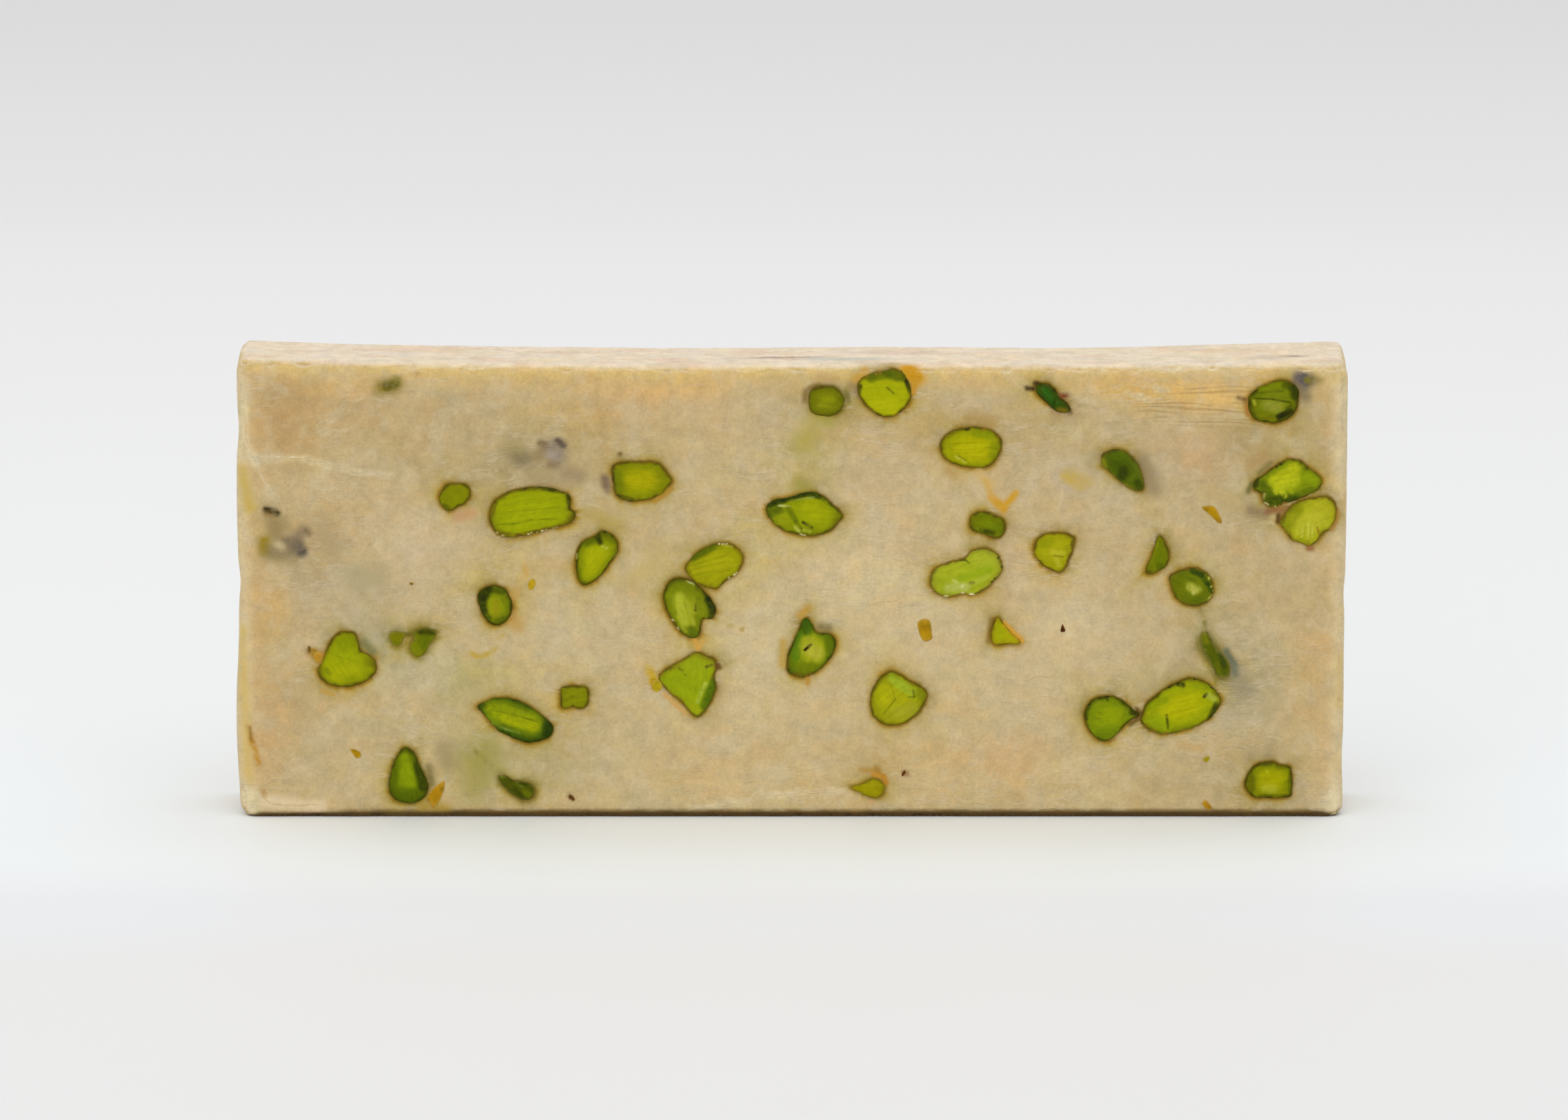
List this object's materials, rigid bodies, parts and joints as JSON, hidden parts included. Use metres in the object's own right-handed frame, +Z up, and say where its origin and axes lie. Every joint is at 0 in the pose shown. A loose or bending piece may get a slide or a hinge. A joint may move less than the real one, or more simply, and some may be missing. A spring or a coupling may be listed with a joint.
{
  "type": "pistachio turron bar",
  "caption": "Pale nougat turron bar with cut green pistachio kernels set in its faces, standing on its long edge.",
  "frame": {"origin": "middle of the foot, on the surface that the bar stands on", "axes": "+X along the bar to the right as seen from its front, +Y through the bar from front to back, +Z up"},
  "size_m": [0.1757, 0.018, 0.074],
  "materials": {
    "paste": "cut nougat paste, satin, slightly waxy",
    "kernel_bright": "cut pistachio, yellow-green, slightly moist",
    "kernel_green": "cut pistachio, mid green, slightly moist",
    "kernel_dark": "cut pistachio near its skin, dark green"
  },
  "bodies": {
    "root": {"paste": "paste", "pistachio_back_01_oval": "kernel_bright", "pistachio_back_02_round": "kernel_green", "pistachio_back_03_block": "kernel_bright", "pistachio_back_04_kidney": "kernel_green", "pistachio_back_05_drop": "kernel_bright", "pistachio_back_06_wedge": "kernel_bright", "pistachio_back_07_oval": "kernel_bright", "pistachio_back_08_heart": "kernel_green", "pistachio_back_09_sliver": "kernel_dark", "pistachio_back_10_round": "kernel_bright", "pistachio_back_11_oval": "kernel_bright", "pistachio_back_12_kite": "kernel_green", "pistachio_back_13_block": "kernel_bright", "pistachio_back_14_oval": "kernel_dark", "pistachio_back_15_kidney": "kernel_bright", "pistachio_back_16_round": "kernel_green", "pistachio_back_17_pear": "kernel_bright", "pistachio_back_18_oval": "kernel_bright", "pistachio_front_01_heart": "kernel_green", "pistachio_front_02_pear": "kernel_dark", "pistachio_front_03_round": "kernel_dark", "pistachio_front_04_wedge": "kernel_green", "pistachio_front_05_oval": "kernel_green", "pistachio_front_06_oval": "kernel_dark", "pistachio_front_07_sliver": "kernel_green", "pistachio_front_08_oval": "kernel_bright", "pistachio_front_09_block": "kernel_bright", "pistachio_front_10_block": "kernel_green", "pistachio_front_11_oval": "kernel_bright", "pistachio_front_12_block": "kernel_bright", "pistachio_front_13_kite": "kernel_bright", "pistachio_front_14_oval": "kernel_bright", "pistachio_front_15_drop": "kernel_green", "pistachio_front_16_block": "kernel_bright", "pistachio_front_17_heart": "kernel_bright", "pistachio_front_18_round": "kernel_green", "pistachio_front_19_leaf": "kernel_bright", "pistachio_front_20_round": "kernel_bright", "pistachio_front_21_wedge": "kernel_bright", "pistachio_front_22_kidney": "kernel_bright", "pistachio_front_23_oval": "kernel_bright", "pistachio_front_24_kidney": "kernel_green", "pistachio_front_25_wedge": "kernel_green", "pistachio_front_26_sliver": "kernel_dark", "pistachio_front_27_round": "kernel_green", "pistachio_front_28_wedge": "kernel_green", "pistachio_front_29_oval": "kernel_dark", "pistachio_front_30_crescent": "kernel_green", "pistachio_front_31_oval": "kernel_bright", "pistachio_front_32_round": "kernel_green", "pistachio_front_33_sliver": "kernel_dark", "pistachio_front_34_block": "kernel_bright", "pistachio_front_35_round": "kernel_green", "pistachio_front_36_kidney": "kernel_dark", "pistachio_front_37_oval": "kernel_bright", "pistachio_left_01_oval": "kernel_green", "pistachio_left_02_round": "kernel_bright", "pistachio_right_01_oval": "kernel_bright", "pistachio_right_02_wedge": "kernel_green"}
  },
  "joints": []
}
